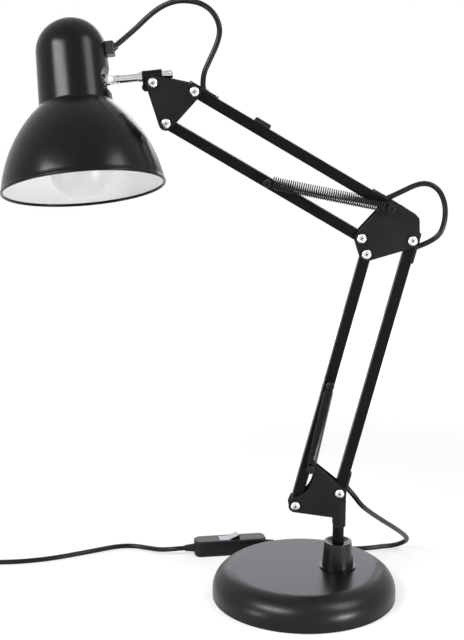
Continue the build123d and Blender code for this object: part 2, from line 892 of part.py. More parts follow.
def stem_cotter():
    """A cross pin that keeps the stem in its clamp and swings clear between the head's plates."""
    reach = plate_inside - cotter_side_gap
    return disc((cotter_run, 0), cotter_radius, -reach, reach)


save("stem_clamp", clamp_frame * stem_clamp())
save("stem", stem_frame * stem())
save("stem_cotter", stem_frame * stem_cotter())


# Shade and what it carries, in the head's frame
def shade_form(inset, foot):
    """The shade's outer form, drawn in by an inset, as a solid down to a foot height."""
    neck = neck_radius - inset
    waist = neck_foot_radius - inset
    rim = rim_radius - inset
    crown = dome_base + dome_rise - inset
    bend = math.sqrt(0.5)
    flare = (
        waist + (rim - waist) * flare_mid_shares[0],
        -neck_foot - (rim_drop - neck_foot) * flare_mid_shares[1],
    )
    outline = [
        ThreePointArc((0, crown), (neck * bend, dome_base + (crown - dome_base) * bend), (neck, dome_base)),
        Line((neck, dome_base), (waist, -neck_foot)),
        ThreePointArc((waist, -neck_foot), flare, (rim, -rim_drop)),
        Polyline((rim, -rim_drop), (rim, foot), (0, foot), (0, crown)),
    ]
    return revolve(Plane.XZ * make_face(outline), Axis.Z)


dimple_bend = (dimple_opening ** 2 + dimple_depth ** 2) / (2 * dimple_depth)
shade_body = shade_form(0, -rim_drop - rim_bead)
sleeve_turn = math.radians(sleeve_angle)
sleeve_plane = Plane(
    origin=(neck_radius + sleeve_run, 0, gland_place - sleeve_drop),
    x_dir=(0, 1, 0),
    z_dir=(math.cos(sleeve_turn), 0, math.sin(sleeve_turn)),
)


def dimple_press(growth):
    """The round bar across the neck that presses the dimple, grown by a distance."""
    return disc((dimple_floor + dimple_bend, 0), dimple_bend + growth, -neck_foot_radius, neck_foot_radius)


def shade():
    """Spun shell with a pressed dimple, a rolled rim and holes for the yoke's stud and the cord."""
    shell = shade_body - shade_form(shade_sheet, -rim_drop - overrun)
    shell -= dimple_press(0)
    shell += shade_body & (dimple_press(shade_sheet) - dimple_press(0))
    shell += Pos(0, 0, -rim_drop - rim_bead) * Torus(rim_radius - shade_sheet / 2, rim_bead)
    shell -= rod(yoke_stud_radius + fit_gap, holder_radius, neck_radius)
    entry = Pos(0, 0, gland_place) * rod(cord_radius, holder_radius, neck_radius + overrun)
    return shell - entry


yoke_seat = dimple_floor + dimple_bend - math.sqrt(dimple_bend ** 2 - yoke_foot_radius ** 2)
stud_end = holder_radius - yoke_stud_bite
ear_outside = yoke_ear_gap + yoke_ear_sheet


def shade_yoke():
    """Two chrome ears on a round foot in the dimple, with a stud through the shade."""
    root = yoke_seat + yoke_foot_height / 2
    ear = Pos(tilt_run, 0) * Circle(yoke_ear_round)
    ear += Pos(root, 0) * Rectangle(tilt_run - root, 2 * yoke_ear_round, align=(Align.MIN, Align.CENTER))
    ear -= Pos(tilt_run, 0) * Circle(yoke_pin_radius + fit_gap)
    yoke = rod(yoke_foot_radius, yoke_seat, yoke_seat + yoke_foot_height)
    yoke += slab(ear, -ear_outside, -yoke_ear_gap) + slab(ear, yoke_ear_gap, ear_outside)
    return yoke + rod(yoke_stud_radius, stud_end, root)


def yoke_screw():
    """Pivot pin of the yoke with a low head on each side."""
    pin = disc((tilt_run, 0), yoke_pin_radius, -ear_outside, ear_outside)
    for side in (-1, 1):
        head = side * (ear_outside + yoke_pin_head_height)
        pin += disc((tilt_run, 0), yoke_pin_head_radius, side * ear_outside, head)
    return pin


def cord_gland():
    """Moulded block on the neck with a tapered sleeve round the cord."""
    depth = gland_reach + dimple_depth
    block = Box(depth, gland_width, gland_height, align=(Align.MIN, Align.CENTER, Align.CENTER))
    block = Pos(neck_radius - dimple_depth, 0, gland_place) * block
    block = fillet(block.edges().group_by(Axis.X)[-1], gland_round)
    sleeve = Cone(
        sleeve_root_radius, sleeve_tip_radius, sleeve_length, align=(Align.CENTER, Align.CENTER, Align.MIN)
    )
    return block + sleeve_plane * sleeve - shade_body


bulb_tip = -rim_drop - bulb_overhang
bulb_middle = bulb_tip + bulb_radius
bulb_split = bulb_middle + bulb_split_rise
split_radius = math.sqrt(bulb_radius ** 2 - bulb_split_rise ** 2)
cap_top = bulb_tip + bulb_length
cap_foot = cap_top - bulb_cap_length


def lampholder():
    """Screw lampholder with a side boss on the yoke's stud."""
    body = Pos(0, 0, -holder_skirt) * upright(holder_radius, holder_top + holder_skirt)
    body = fillet(body.edges().group_by(Axis.Z)[-1], holder_crown_round)
    body += rod(holder_boss_radius, stud_end, dimple_floor)
    body -= dimple_press(shade_sheet + holder_boss_gap)
    bore = upright(bulb_cap_radius + holder_bore_gap, cap_top + holder_skirt + overrun + holder_bore_gap)
    body -= Pos(0, 0, -holder_skirt - overrun) * bore
    return body - rod(yoke_stud_radius + fit_gap, stud_end - fit_gap, dimple_floor)


def bulb_cap():
    """Screw cap of the bulb with its centre contact."""
    sleeve = Pos(0, 0, cap_foot) * upright(bulb_cap_radius, bulb_cap_length - bulb_tip_length)
    return sleeve + Pos(0, 0, cap_foot) * upright(bulb_tip_radius, bulb_cap_length)


def bulb_body():
    """Moulded neck between the cap and the frosted dome."""
    waist = bulb_body_radius + (split_radius - bulb_body_radius) * bulb_body_waist_share
    middle = (cap_foot + bulb_split) / 2
    outline = [
        Polyline((bulb_body_radius, cap_foot), (0, cap_foot), (0, bulb_split), (split_radius, bulb_split)),
        ThreePointArc((split_radius, bulb_split), (waist, middle), (bulb_body_radius, cap_foot)),
    ]
    return revolve(Plane.XZ * make_face(outline), Axis.Z)


def bulb_dome():
    """Frosted dome, the greater part of a ball."""
    outline = [
        ThreePointArc((0, bulb_tip), (bulb_radius, bulb_middle), (split_radius, bulb_split)),
        Polyline((split_radius, bulb_split), (0, bulb_split), (0, bulb_tip)),
    ]
    return revolve(Plane.XZ * make_face(outline), Axis.Z)


save("shade", head_frame * shade())
save("shade_yoke", head_frame * shade_yoke())
save("yoke_screw", head_frame * yoke_screw())
save("cord_gland", head_frame * cord_gland())
save("lampholder", head_frame * lampholder())
save("bulb_cap", head_frame * bulb_cap())
save("bulb_body", head_frame * bulb_body())
save("bulb_dome", head_frame * bulb_dome())

# Inline switch, about the middle of its foot
switch_frame = Pos(switch_place_x, switch_place_y, 0) * Rot(0, 0, switch_turn)
switch_half = switch_length / 2
axle_height = switch_height - axle_drop
axle_reach = switch_width / 2 - switch_wall + axle_bite
case_seat = case_screw_recess + case_screw_head_height
case_screw_end = switch_lower_height + case_screw_grip


def switch_block(foot, top, inset):
    """A block with the switch's long rounded outline between two heights."""
    outline = RectangleRounded(switch_length - 2 * inset, switch_width - 2 * inset, switch_corner - inset)
    return Pos(0, 0, foot) * extrude(outline, amount=top - foot)


def case_post(foot, top, radius):
    """Round posts at the places of the two case screws."""
    ring = Sketch() + [Pos(side * case_screw_spread, 0) * Circle(radius) for side in (-1, 1)]
    return Pos(0, 0, foot) * extrude(ring, amount=top - foot)


def relief(side):
    """A tapered relief for the cord at one end of the switch."""
    taper = Cone(
        relief_root_radius, relief_tip_radius, relief_length, align=(Align.CENTER, Align.CENTER, Align.MIN)
    )
    return Pos(side * switch_half, 0, switch_cord_height) * Rot(0, side * 90, 0) * taper


def switch_lower_shell():
    """Lower half of the case, with the reliefs and the screw posts."""
    shell = fillet(switch_block(0, switch_lower_height, 0).edges().group_by(Axis.Z)[0], switch_edge)
    shell -= switch_block(switch_wall, switch_lower_height + overrun, switch_wall)
    shell += case_post(switch_wall, switch_lower_height, case_post_radius)
    shell -= case_post(0, switch_lower_height + overrun, case_screw_radius + fit_gap)
    shell -= case_post(0, case_seat, case_screw_head_radius + fit_gap)
    return shell + relief(-1) + relief(1)


def switch_upper_shell():
    """Upper half of the case, with the rocker's window and bearings."""
    shell = switch_block(switch_lower_height, switch_height, 0)
    shell = fillet(shell.edges().group_by(Axis.Z)[-1], switch_edge)
    shell -= switch_block(switch_lower_height, switch_height - switch_wall, switch_wall)
    shell += case_post(switch_lower_height, switch_height - switch_wall, case_post_radius)
    shell -= case_post(switch_lower_height, case_screw_end, case_screw_radius + fit_gap)
    length = 2 * rocker_radius + 2 * rocker_window_gap
    window = Box(length, rocker_width + 2 * rocker_window_gap, switch_height)
    shell -= Pos(rocker_place, 0, switch_height) * window
    bearing = axle_reach + fit_gap
    return shell - disc((rocker_place, axle_height), axle_radius + running_gap, -bearing, bearing)


def switch_screws():
    """The two case screws, from below."""
    heads = case_post(case_screw_recess, case_seat, case_screw_head_radius)
    return (heads + case_post(case_screw_recess, case_screw_end, case_screw_radius)).solids()


def switch_contacts():
    """Two brass strips on the floor of the case."""
    strip = Box(contact_length, contact_width, contact_sheet, align=(Align.CENTER, Align.CENTER, Align.MIN))
    return [Pos(rocker_place + side * contact_spread, 0, switch_wall) * strip for side in (-1, 1)]


def switch_rocker():
    """Rocker with round ends about its axle and a shallow V on top, pressed down on one side."""
    wide = 2 * rocker_radius
    face = Circle(rocker_radius)
    face -= Pos(0, -rocker_depth) * Rectangle(wide, wide, align=(Align.CENTER, Align.MAX))
    face -= make_face(
        Polyline(
            (-rocker_radius, rocker_peak),
            (0, rocker_dip),
            (rocker_radius, rocker_peak),
            (rocker_radius, wide),
            (-rocker_radius, wide),
            close=True,
        )
    )
    body = slab(face, -rocker_width / 2, rocker_width / 2)
    body += disc((0, 0), axle_radius, -axle_reach, axle_reach)
    return Pos(rocker_place, 0, axle_height) * Rot(0, -rocker_lean, 0) * body


save("switch_lower_shell", switch_frame * switch_lower_shell())
save("switch_upper_shell", switch_frame * switch_upper_shell())
save("switch_screws", *[switch_frame * screw for screw in switch_screws()])
save("switch_contacts", *[switch_frame * strip for strip in switch_contacts()])
save("switch_rocker", switch_frame * switch_rocker())


# Free cords: straight runs joined by arcs that are as large as the runs allow
def cord_tube(points, name):
    """A round tube along a route, with its radii and its volume against section times length."""
    points = [Vector(*point) for point in points]
    radii = []
    for before, point, after in zip(points, points[1:], points[2:]):
        turn = math.radians((point - before).get_angle(after - point))
        shorter = min((point - before).length, (after - point).length)
        radii.append(cord_arc_share * shorter / math.tan(turn / 2))
    path = FilletPolyline(*points, radius=radii)
    section = Plane(origin=path @ 0, z_dir=path % 0) * Circle(cord_radius)
    tube = sweep(section, path=path)
    ratio = tube.volume / (section.area * path.length)
    print(name, "length", round(path.length, 1), "volume ratio", round(ratio, 4))
    print(name, "radii", [round(radius, 1) for radius in radii])
    return tube


def placed(frame, *point):
    """A point of an arm's or the head's frame, in the lamp's frame."""
    return (frame * Pos(*point)).position


def mouth(frame, length, lead):
    """A point out from a cable mouth; a length of 0 is the arm's near end, else its far end."""
    turn = math.radians(cable_exit_angle)
    run = mouth_run - lead * math.cos(turn)
    place = length - run if length else run
    return placed(frame, place, 0, -grommet_face - lead * math.sin(turn))


def sleeve_point(lead):
    """A point on the gland's line, out from its sleeve."""
    return placed(head_frame, *(sleeve_plane.origin + sleeve_plane.z_dir * (sleeve_length + lead)))


relief_end = switch_half + relief_length
switch_exits = {
    side: placed(switch_frame, side * relief_end, 0, switch_cord_height) for side in (-1, 1)
}
switch_leads = {
    side: placed(switch_frame, side * (relief_end + switch_lead), 0, switch_cord_height) for side in (-1, 1)
}
rise_end = (Vector(*rise_route[-1]) + Vector(*rear_route[0])) / 2
elbow_points = [
    mouth(upper_top_frame, 0, 0),
    mouth(upper_top_frame, 0, cable_lead),
    *elbow_route,
    mouth(lower_rear_frame, lower_arm_length, cable_lead),
    mouth(lower_rear_frame, lower_arm_length, 0),
]
head_points = [
    sleeve_point(0),
    sleeve_point(gland_lead),
    *head_route,
    mouth(upper_top_frame, upper_arm_length, cable_lead),
    mouth(upper_top_frame, upper_arm_length, 0),
]
rise_points = [
    mouth(lower_rear_frame, 0, 0),
    mouth(lower_rear_frame, 0, cable_lead),
    *rise_route,
    rise_end,
]
save("elbow_cord", cord_tube(elbow_points, "elbow cord"))
save("head_cord", cord_tube(head_points, "head cord"))
save("mains_cord_rise", cord_tube(rise_points, "mains cord rise"))
rear_points = [rise_end, *rear_route, switch_leads[1], switch_exits[1]]
save("mains_cord_rear", cord_tube(rear_points, "mains cord rear"))

# Put-away coil: it spirals in near the table, climbs at the reversal and spirals out on top
coil_layer = cord_diameter + coil_gap
coil_line = cord_radius + tie_sheet + tie_gap
coil_quarters = coil_quarters_in + coil_quarters_out
coil_place = Pos(coil_centre_x, coil_centre_y, 0)


def coil_radius(quarter):
    """Radius of the coil after a count of quarter turns."""
    inner = coil_outer_radius - coil_layer * coil_quarters_in / 4
    return inner + coil_layer * abs(quarter - coil_quarters_in) / 4


def coil_stations():
    """Quarter-turn stations of the coil about its own centre."""
    stations = []
    for quarter in range(coil_quarters + 1):
        turn = (quarter + 1) * math.pi / 2
        outward = Vector(math.cos(turn), math.sin(turn), 0)
        onward = Vector(-math.sin(turn), math.cos(turn), 0)
        climbed = min(max((quarter - coil_quarters_in + 1) / 2, 0), 1)
        place = outward * coil_radius(quarter) + Vector(0, 0, coil_line + coil_layer * climbed)
        if quarter in (0, coil_quarters):
            heading = onward
        elif quarter == coil_quarters_in:
            heading = onward + Vector(0, 0, climb_slope)
        else:
            drift = math.copysign(coil_layer / (2 * math.pi), quarter - coil_quarters_in)
            heading = onward * coil_radius(quarter) + outward * drift
        stations.append((place, heading.normalized()))
    return stations


coil_marks = coil_stations()
coil_start = coil_marks[0][0] - coil_marks[0][1] * cord_diameter
coil_end = coil_marks[-1][0] + coil_marks[-1][1] * coil_tail
coil_path = [
    Line(coil_start, coil_marks[0][0]),
    *wound_path(coil_marks),
    Line(coil_marks[-1][0], coil_end),
]
report_winding("coil", coil_path, cord_diameter, math.pi * coil_outer_radius)
coil_entry = coil_start + coil_place.position
front_points = [
    switch_exits[-1],
    switch_leads[-1],
    *front_route,
    coil_entry - coil_marks[0][1] * coil_lead,
    coil_entry,
]
save("mains_cord_coil", coil_place * sweep_wound(coil_path, cord_radius, coil_sides))
save("mains_cord_front", cord_tube(front_points, "mains cord front"))


def coil_tie():
    """A flat strap round the loops, on the side where the coil has no climb."""
    inner = coil_radius(coil_quarters_in - 2) - cord_radius - 2 * tie_gap
    outer = coil_radius(2) + cord_radius + 2 * tie_gap
    width = outer - inner
    height = 2 * cord_diameter + coil_gap + 2 * tie_gap
    strap = Rectangle(width + 2 * tie_sheet, height + 2 * tie_sheet) - Rectangle(width, height)
    ring = extrude(Plane.YZ * strap, amount=tie_width / 2, both=True)
    return Pos(0, -(inner + outer) / 2, height / 2 + tie_sheet) * ring


plug_height = coil_line + coil_layer
plug_plane = Plane(origin=coil_end + coil_place.position, x_dir=coil_marks[-1][1], z_dir=(0, 0, 1))
plug_end = plug_relief_length + plug_length


def plug_body():
    """Two-pin plug that lies on the table, with a tapered relief for the cord."""
    shoulder = plug_end - plug_length * plug_neck_share
    outline = Polyline(
        (plug_relief_length, -plug_neck_width / 2),
        (shoulder, -plug_width / 2),
        (plug_end, -plug_nose_width / 2),
        (plug_end, plug_nose_width / 2),
        (shoulder, plug_width / 2),
        (plug_relief_length, plug_neck_width / 2),
        close=True,
    )
    body = extrude(make_face(outline), amount=plug_height, both=True)
    body = fillet(body.edges(), plug_round)
    taper = Cone(
        plug_relief_tip, plug_relief_root, plug_relief_length, align=(Align.CENTER, Align.CENTER, Align.MIN)
    )
    body += Rot(0, 90, 0) * taper
    for side in (-1, 1):
        seat = rod(pin_radius + fit_gap, plug_end - pin_seat - fit_gap, plug_end + overrun)
        body -= Pos(0, side * pin_spacing / 2, 0) * seat
    return body


def plug_pins():
    """The plug's two round pins."""
    pin = rod(pin_radius, plug_end - pin_seat, plug_end + pin_length)
    pin = fillet(pin.edges().group_by(Axis.X)[-1], pin_round)
    return [Pos(0, side * pin_spacing / 2, 0) * pin for side in (-1, 1)]


save("coil_tie", coil_place * coil_tie())
save("plug_body", plug_plane.location * plug_body())
save("plug_pins", *[plug_plane.location * pin for pin in plug_pins()])
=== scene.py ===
import json
import math

import bmesh
import bpy
from mathutils import Matrix, Vector
from mathutils.bvhtree import BVHTree


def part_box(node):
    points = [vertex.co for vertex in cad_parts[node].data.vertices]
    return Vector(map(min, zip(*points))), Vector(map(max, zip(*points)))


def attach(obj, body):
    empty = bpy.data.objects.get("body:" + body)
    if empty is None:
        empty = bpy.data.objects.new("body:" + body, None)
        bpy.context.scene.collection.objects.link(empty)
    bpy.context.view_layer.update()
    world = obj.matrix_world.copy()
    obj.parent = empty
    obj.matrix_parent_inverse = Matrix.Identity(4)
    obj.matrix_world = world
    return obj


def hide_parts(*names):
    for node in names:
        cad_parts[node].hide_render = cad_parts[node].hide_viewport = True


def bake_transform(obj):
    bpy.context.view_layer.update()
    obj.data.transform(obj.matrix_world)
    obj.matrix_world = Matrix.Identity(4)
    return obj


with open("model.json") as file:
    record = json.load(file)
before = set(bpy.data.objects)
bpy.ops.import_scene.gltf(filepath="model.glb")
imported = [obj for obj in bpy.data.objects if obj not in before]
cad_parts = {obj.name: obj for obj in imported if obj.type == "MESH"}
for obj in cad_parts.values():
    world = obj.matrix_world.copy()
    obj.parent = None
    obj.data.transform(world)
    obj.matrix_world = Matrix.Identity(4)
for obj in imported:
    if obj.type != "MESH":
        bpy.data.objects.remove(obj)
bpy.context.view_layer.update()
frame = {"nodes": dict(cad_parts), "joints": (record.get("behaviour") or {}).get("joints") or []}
joints = {joint["name"]: joint for joint in frame["joints"]}

# Lengths are in metres.
MM = 0.001


def mm(*values):
    """A point written in millimetres, in metres."""
    return Vector(values) * MM


def pivot(name):
    """Place of a joint at rest."""
    return Vector(joints[name]["pos_m"])


def middle(node):
    """Middle of a CAD node's box."""
    low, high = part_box(node)
    return (low + high) / 2


# Camera, as the photograph was taken: in front of the arms' plane, looking slightly down
CAMERA_PLACE = mm(-70.7, -1267.4, 567.0)
CAMERA_PITCH = math.radians(12.86)
CAMERA_LENS = 77.57
CAMERA_SENSOR = 36
CAMERA_REACH = (0.05, 60)

camera = bpy.data.objects.new("camera", bpy.data.cameras.new("camera"))
bpy.context.scene.collection.objects.link(camera)
camera.location = CAMERA_PLACE
camera.rotation_euler = (math.pi / 2 - CAMERA_PITCH, 0, 0)
camera.data.lens = CAMERA_LENS
camera.data.sensor_width = CAMERA_SENSOR
camera.data.clip_start, camera.data.clip_end = CAMERA_REACH
bpy.context.scene.camera = camera


# Materials: drift and grain are counted in grains per metre
NOISE_DETAIL = 3.0
NOISE_RANGE = (0.3, 0.7)
DRIFT = 45
GLOSS_PATCH = 4
RELIEF_DEPTH = 0.05 * MM
WHITE = (1, 1, 1)


def node_tree(name):
    """A new material with its principled shader."""
    material = bpy.data.materials.new(name)
    material.use_nodes = True
    return material, material.node_tree, material.node_tree.nodes["Principled BSDF"]


def noise(tree, scale):
    """Noise in object space."""
    coordinates = tree.nodes.new("ShaderNodeTexCoord")
    texture = tree.nodes.new("ShaderNodeTexNoise")
    texture.inputs["Scale"].default_value = scale
    texture.inputs["Detail"].default_value = NOISE_DETAIL
    tree.links.new(coordinates.outputs["Object"], texture.inputs["Vector"])
    return texture.outputs["Fac"]


def spread(tree, value, low, high):
    """A noise value mapped to a range."""
    ranged = tree.nodes.new("ShaderNodeMapRange")
    ranged.inputs["From Min"].default_value, ranged.inputs["From Max"].default_value = NOISE_RANGE
    ranged.inputs["To Min"].default_value = low
    ranged.inputs["To Max"].default_value = high
    tree.links.new(value, ranged.inputs["Value"])
    return ranged.outputs["Result"]


def tint(tree, value, first, second):
    """A colour that drifts between two with a noise value."""
    mix = tree.nodes.new("ShaderNodeMix")
    mix.data_type = "RGBA"
    mix.inputs["A"].default_value = (*first, 1)
    mix.inputs["B"].default_value = (*second, 1)
    tree.links.new(spread(tree, value, 0, 1), mix.inputs["Factor"])
    return mix.outputs["Result"]


def surface(name, colours, rough, grain, bump, metallic=0.0, specular=0.5):
    """A finish with colour drift, uneven gloss and a fine grain in its surface."""
    material, tree, shader = node_tree(name)
    tree.links.new(tint(tree, noise(tree, DRIFT), *colours), shader.inputs["Base Color"])
    tree.links.new(spread(tree, noise(tree, grain / GLOSS_PATCH), *rough), shader.inputs["Roughness"])
    shader.inputs["Metallic"].default_value = metallic
    shader.inputs["Specular IOR Level"].default_value = specular
    relief = tree.nodes.new("ShaderNodeBump")
    relief.inputs["Strength"].default_value = bump
    relief.inputs["Distance"].default_value = RELIEF_DEPTH
    tree.links.new(noise(tree, grain), relief.inputs["Height"])
    tree.links.new(relief.outputs["Normal"], shader.inputs["Normal"])
    return material


def grey(value):
    """A neutral colour."""
    return (value, value, value)


def greys(first, second):
    """Two neutral colours that a finish drifts between."""
    return grey(first), grey(second)


BRASS_COLOURS = ((0.62, 0.42, 0.16), (0.7, 0.5, 0.22))
PAINT = surface(
    "satin_black_paint", greys(0.0015, 0.0025), rough=(0.22, 0.26), grain=1800, bump=0.006, specular=0.16
)
BASE_PAINT = surface(
    "base_black_paint", greys(0.0015, 0.0025), rough=(0.29, 0.34), grain=1800, bump=0.004, specular=0.25
)
PLATE_PAINT = surface(
    "black_plate_paint", greys(0.008, 0.012), rough=(0.44, 0.54), grain=2200, bump=0.3, specular=0.09
)
TUBE_PAINT = surface(
    "black_tube_paint", greys(0.002, 0.0035), rough=(0.38, 0.46), grain=2200, bump=0.2, specular=0.08
)
SHADE_WHITE = surface("white_enamel", greys(0.9, 0.93), rough=(0.4, 0.5), grain=1500, bump=0.15)
BLACK_STEEL = surface(
    "black_oxide_steel", greys(0.004, 0.008), rough=(0.3, 0.42), grain=3000, bump=0.3, specular=0.2
)
SCREW_STEEL = surface(
    "nickel_screw", greys(0.62, 0.7), rough=(0.24, 0.34), grain=2600, bump=0.25, metallic=1.0
)
CHROME = surface(
    "chrome", greys(0.5, 0.58), rough=(0.12, 0.18), grain=2500, bump=0.03, metallic=1.0
)
MOULDING = surface(
    "black_moulding", greys(0.002, 0.004), rough=(0.2, 0.26), grain=2600, bump=0.06, specular=0.35
)
SWITCH_CASE = surface(
    "switch_case", greys(0.005, 0.008), rough=(0.34, 0.42), grain=2600, bump=0.2, specular=0.22
)
ROCKER_GLOSS = surface(
    "rocker_gloss", greys(0.008, 0.011), rough=(0.1, 0.16), grain=1500, bump=0.05, specular=1.0
)
CORD_SHEATH = surface(
    "cord_sheath", greys(0.003, 0.005), rough=(0.26, 0.32), grain=240, bump=0.01, specular=0.2
)
PAD_FOAM = surface(
    "pad_foam", greys(0.012, 0.02), rough=(0.8, 0.95), grain=1200, bump=1.0, specular=0.2
)
CAST_IRON = surface(
    "cast_iron", greys(0.06, 0.1), rough=(0.6, 0.75), grain=900, bump=1.0, metallic=0.6
)
ZINC = surface("zinc_steel", greys(0.5, 0.6), rough=(0.25, 0.4), grain=2000, bump=0.3, metallic=1.0)
BRASS = surface("brass", BRASS_COLOURS, rough=(0.22, 0.34), grain=2000, bump=0.2, metallic=1.0)
BULB_GLASS = surface("frosted_bulb", greys(0.72, 0.75), rough=(0.3, 0.38), grain=1800, bump=0.05)
BULB_BODY = surface("bulb_body", greys(0.76, 0.8), rough=(0.4, 0.5), grain=1800, bump=0.1)
WHITE_MARK = surface("white_mark", greys(0.7, 0.75), rough=(0.5, 0.6), grain=1500, bump=0.1)

NODE_FINISH = {
    "base_cover": BASE_PAINT,
    "base_weight": CAST_IRON,
    "base_pad": PAD_FOAM,
    "base_socket": MOULDING,
    "socket_nut": ZINC,
    "swivel_bracket": PLATE_PAINT,
    "swivel_post": TUBE_PAINT,
    "bracket_nuts": BLACK_STEEL,
    "bracket_spring_studs": BLACK_STEEL,
    "lower_rear_tube": TUBE_PAINT,
    "lower_front_tube": TUBE_PAINT,
    "lower_grommets": MOULDING,
    "lower_cable_run": CORD_SHEATH,
    "lower_spring_bolt": BLACK_STEEL,
    "elbow_front_plate": PLATE_PAINT,
    "elbow_back_plate": PLATE_PAINT,
    "elbow_nuts": BLACK_STEEL,
    "elbow_spring_bolt": BLACK_STEEL,
    "upper_top_tube": TUBE_PAINT,
    "upper_bottom_tube": TUBE_PAINT,
    "upper_grommets": MOULDING,
    "upper_tube_clip": MOULDING,
    "upper_cable_run": CORD_SHEATH,
    "upper_spring_bolt": BLACK_STEEL,
    "head_front_plate": PLATE_PAINT,
    "head_back_plate": PLATE_PAINT,
    "head_nuts": BLACK_STEEL,
    "wing_nut": BLACK_STEEL,
    "stem_clamp": TUBE_PAINT,
    "stem": CHROME,
    "stem_cotter": ZINC,
    "shade_yoke": CHROME,
    "yoke_screw": SCREW_STEEL,
    "cord_gland": MOULDING,
    "lampholder": MOULDING,
    "bulb_cap": ZINC,
    "bulb_body": BULB_BODY,
    "bulb_dome": BULB_GLASS,
    "switch_lower_shell": SWITCH_CASE,
    "switch_upper_shell": SWITCH_CASE,
    "switch_rocker": ROCKER_GLOSS,
    "switch_screws": ZINC,
    "switch_contacts": BRASS,
    "coil_tie": MOULDING,
    "plug_body": MOULDING,
    "plug_pins": ZINC,
}
for node, finish in NODE_FINISH.items():
    slots = frame["nodes"][node].data.materials
    slots.clear()
    slots.append(finish)


# Mesh makers
TUBE_END_ANGLE = math.radians(75)


def add_mesh(name, mesh, finish):
    """Put a mesh in the scene as one piece."""
    piece = bpy.data.objects.new(name, mesh)
    bpy.context.scene.collection.objects.link(piece)
    mesh.materials.append(finish)
    return piece


def mesh_from(name, points, faces):
    """A smooth mesh from points and faces."""
    mesh = bpy.data.meshes.new(name)
    mesh.from_pydata([tuple(point) for point in points], [], faces)
    mesh.shade_smooth()
    mesh.update()
    return mesh


def ring_faces(rings, sides):
    """Faces between rings of points, each ring joined to the next."""
    faces = []
    for ring in range(rings - 1):
        low = ring * sides
        for side in range(sides):
            onward = (side + 1) % sides
            faces.append((low + side, low + onward, low + sides + onward, low + sides + side))
    return faces


def tube_mesh(name, line, radius, sides):
    """A round tube with flat ends along a line of points."""
    points = []
    heading = (line[1] - line[0]).normalized()
    across = heading.orthogonal().normalized()
    for index, place in enumerate(line):
        before = line[max(index - 1, 0)]
        after = line[min(index + 1, len(line) - 1)]
        heading = (after - before).normalized()
        across = (across - heading * across.dot(heading)).normalized()
        upright = heading.cross(across)
        for side in range(sides):
            turn = 2 * math.pi * side / sides
            points.append(place + (across * math.cos(turn) + upright * math.sin(turn)) * radius)
    faces = ring_faces(len(line), sides)
    faces.append(tuple(reversed(range(sides))))
    last = (len(line) - 1) * sides
    faces.append(tuple(range(last, last + sides)))
    mesh = mesh_from(name, points, faces)
    mesh.set_sharp_from_angle(angle=TUBE_END_ANGLE)
    return mesh


def lathe_mesh(name, profile, segments, place):
    """A profile of (radius, height) points turned about Z and put in place by a matrix."""
    points = []
    for radius, height in profile:
        for segment in range(segments):
            turn = 2 * math.pi * segment / segments
            points.append(place @ Vector((radius * math.cos(turn), radius * math.sin(turn), height)))
    return mesh_from(name, points, ring_faces(len(profile), segments))


# Cords: routes in metres, the control points of smooth splines
CORD_DIAMETER = 5.0 * MM
CORD_SIDES = 14
SPLINE_STEPS = 10

ELBOW_ROUTE = [
    mm(74.17, 0.0, 393.78),
    mm(83.26, 0.0, 397.94),
    mm(100.5, 0.0, 406.5),
    mm(111.5, 0.0, 406.8),
    mm(120.5, 0.0, 400.8),
    mm(125.6, 0.0, 390.5),
    mm(127.2, 0.0, 379.0),
    mm(125.8, 0.0, 367.5),
    mm(121.8, 0.0, 358.2),
    mm(111.22, 0.0, 351.18),
    mm(101.85, 0.0, 347.68),
]
HEAD_ROUTE = [
    mm(-176.13, 10.41, 531.39),
    mm(-162.28, 13.69, 542.42),
    mm(-141.5, 14.0, 562.0),
    mm(-126.0, 12.0, 570.0),
    mm(-112.0, 10.0, 571.5),
    mm(-97.0, 7.5, 568.5),
    mm(-86.0, 5.0, 559.5),
    mm(-81.0, 3.5, 546.0),
    mm(-84.0, 2.0, 533.0),
    mm(-91.0, 1.0, 518.5),
    mm(-97.6, 0.0, 504.04),
    mm(-96.8, 0.0, 494.08),
]
RISE_ROUTE = [
    mm(40.89, 0.0, 110.88),
    mm(47.39, 0.0, 103.28),
    mm(55.3, 6.5, 90.8),
    mm(66.0, 24.0, 76.7),
    mm(80.5, 46.0, 60.0),
    mm(97.5, 72.0, 41.0),
    mm(109.5, 96.0, 25.0),
    mm(116.0, 109.0, 14.5),
    mm(112.6, 116.2, 7.6),
    mm(102.6, 119.9, 2.6),
    mm(89.0, 117.1, 2.6),
    mm(81.25, 114.55, 2.6),
]
REAR_ROUTE = [
    mm(81.25, 114.55, 2.6),
    mm(73.5, 112.0, 2.6),
    mm(57.0, 110.5, 2.6),
    mm(39.0, 112.5, 2.6),
    mm(20.0, 115.5, 2.6),
    mm(2.0, 117.0, 3.2),
    mm(-13.5, 115.9, 7.2),
    mm(-20.16, 114.87, 8.0),
    mm(-25.59, 114.01, 8.0),
]
FRONT_ROUTE = [
    mm(-120.41, 98.99, 8.0),
    mm(-125.84, 98.13, 8.0),
    mm(-133.5, 98.2, 7.2),
    mm(-147.0, 103.5, 4.2),
    mm(-162.0, 113.5, 2.6),
    mm(-178.0, 119.5, 2.6),
    mm(-196.0, 116.5, 2.6),
    mm(-217.0, 105.1, 2.6),
    mm(-238.0, 94.5, 2.6),
    mm(-260.0, 84.0, 2.6),
    mm(-286.0, 76.5, 2.6),
    mm(-312.0, 73.5, 2.6),
    mm(-330.0, 74.6, 3.2),
    mm(-344.0, 75.0, 3.55),
]
COIL_CENTRE = mm(-362.0, 39.6, 0.0)
COIL_OUTER = 35.4 * MM
COIL_LAYER = 5.5 * MM
COIL_HEIGHT = 3.55 * MM
COIL_TURNS_IN = 3.0
COIL_TURNS_OUT = 3.25
COIL_CLIMB = 0.5
COIL_STEPS = 16
COIL_TAIL = 16.0 * MM


